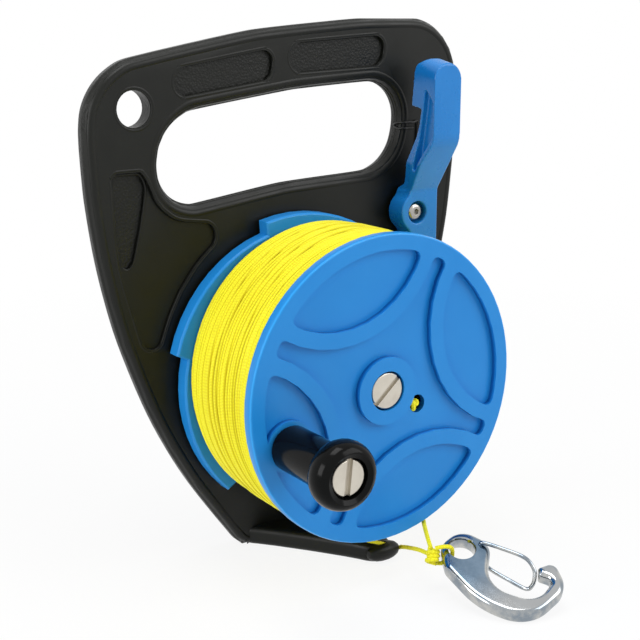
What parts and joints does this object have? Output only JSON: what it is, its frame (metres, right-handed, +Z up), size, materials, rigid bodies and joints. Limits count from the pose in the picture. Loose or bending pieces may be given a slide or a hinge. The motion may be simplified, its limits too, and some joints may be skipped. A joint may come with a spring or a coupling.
{
  "type": "hand reel with ratchet spool and clip",
  "caption": "Diving hand reel: flat handle plate with a ratcheted line spool, winding knob, thumb release lever, line guide foot and a gated clip tied to the line.",
  "frame": {"origin": "on the surface the reel stands on, under the middle of the reel's box (without the free line and the clip)", "axes": "+Z up along the handle plate, the front of the spool and its knob face -Y, +X to the right as seen from the front"},
  "size_m": [0.1626, 0.1191, 0.2036],
  "materials": {
    "black_plastic": "satin moulded",
    "blue_plastic": "satin moulded",
    "gloss_black_plastic": "glossy moulded",
    "stainless_steel": "turned and brushed",
    "brass": "turned",
    "nylon": "natural",
    "yellow_line": "braided, bright yellow",
    "polished_steel": "polished"
  },
  "bodies": {
    "root": {"frame": "black_plastic", "axle_screw": "stainless_steel", "head_washer": "nylon", "thrust_washer": "nylon", "axle_nut": "stainless_steel", "pivot_screw": "stainless_steel", "pivot_washer": "stainless_steel", "pivot_nut": "stainless_steel", "lever_spring": "stainless_steel", "line_run": "yellow_line", "line_tail": "yellow_line", "line_knot": "yellow_line", "line_loop": "yellow_line", "clip_body": "polished_steel"},
    "spool": {"front_flange": "blue_plastic", "ratchet_flange": "blue_plastic", "axle_bush": "brass", "line_core": "yellow_line", "line_outer": "yellow_line", "tie_knot": "yellow_line", "knob_screw": "stainless_steel", "knob_insert": "brass", "knob_washer": "nylon"},
    "knob": {"knob": "gloss_black_plastic"},
    "lever": {"lever": "blue_plastic"},
    "gate": {"clip_gate": "polished_steel"}
  },
  "joints": [
    {"name": "spool_spin", "type": "hinge", "parent": "root", "child": "spool", "pos_m": [0.00545, 0, 0.0743], "axis": [0, -1, 0], "continuous": true},
    {"name": "knob_spin", "type": "hinge", "parent": "spool", "child": "knob", "pos_m": [-0.03591, -0.03, 0.0615], "axis": [0, -1, 0], "continuous": true},
    {"name": "lever_release", "type": "hinge", "parent": "root", "child": "lever", "pos_m": [0.05356, 0.035, 0.12867], "axis": [0, -1, 0], "range_deg": [0, 12], "stiffness_Nm_per_rad": 0.12, "springref_deg": -20.05},
    {"name": "gate_open", "type": "hinge", "parent": "root", "child": "gate", "pos_m": [0.03205, -0.03595, 0.01473], "axis": [0.2263, 0.3418, -0.9121], "range_deg": [0, 24], "stiffness_Nm_per_rad": 0.02, "springref_deg": -11.46}
  ]
}
